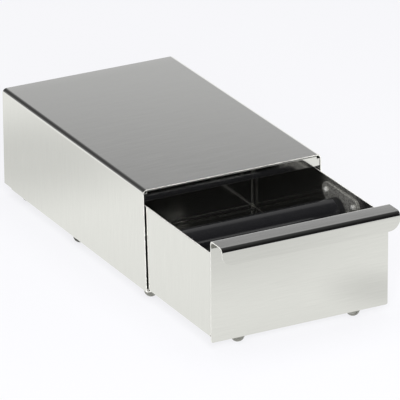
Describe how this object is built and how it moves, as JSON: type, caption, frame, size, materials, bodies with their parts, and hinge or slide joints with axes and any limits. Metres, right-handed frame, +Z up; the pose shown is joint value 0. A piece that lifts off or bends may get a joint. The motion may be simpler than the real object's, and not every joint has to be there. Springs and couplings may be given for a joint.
{
  "type": "knock box drawer",
  "caption": "Low folded-steel box on domed feet with a full-width pull-out drawer, a bent-over handle lip and a rubber-covered knock bar across the drawer for spent coffee.",
  "frame": {"origin": "on the table, at the middle of the outline of the object with its drawer pulled out as stored", "axes": "+Z up, -Y the way the drawer comes out, +X to the right as seen from the front"},
  "size_m": [0.17, 0.4046, 0.1005],
  "materials": {
    "housing_steel": "fine satin stainless sheet",
    "drawer_steel": "bright stainless sheet",
    "front_steel": "fine satin stainless sheet",
    "bar_tube_steel": "drawn tube",
    "bracket_steel": "cut plate",
    "fixing_steel": "bright",
    "bar_rubber": "smooth matt black",
    "collar_rubber": "smooth matt black",
    "foot_rubber": "clear glossy polyurethane",
    "glide_plastic": "natural slippery plastic"
  },
  "bodies": {
    "housing": {"housing_cover": "housing_steel", "front_crossbar": "housing_steel", "back_panel": "housing_steel", "glide_strip_left": "glide_plastic", "tilt_rail_left": "housing_steel", "foot_front_left": "foot_rubber", "foot_middle_left": "foot_rubber", "foot_rear_left": "foot_rubber", "glide_strip_right": "glide_plastic", "tilt_rail_right": "housing_steel", "foot_front_right": "foot_rubber", "foot_middle_right": "foot_rubber", "foot_rear_right": "foot_rubber"},
    "drawer": {"drawer_tray": "drawer_steel", "drawer_back": "drawer_steel", "drawer_front": "front_steel", "bar_core": "bar_tube_steel", "bar_sleeve": "bar_rubber", "bar_collar_left": "collar_rubber", "bar_bracket_left": "bracket_steel", "bracket_studs_left": "fixing_steel", "bracket_nuts_left": "fixing_steel", "drawer_foot_left": "foot_rubber", "bar_collar_right": "collar_rubber", "bar_bracket_right": "bracket_steel", "bracket_studs_right": "fixing_steel", "bracket_nuts_right": "fixing_steel", "drawer_foot_right": "foot_rubber"}
  },
  "joints": [
    {"name": "drawer_slide", "type": "slide", "parent": "housing", "child": "drawer", "axis": [0, -1, 0], "range_m": [-0.1117, 0.1133]}
  ]
}
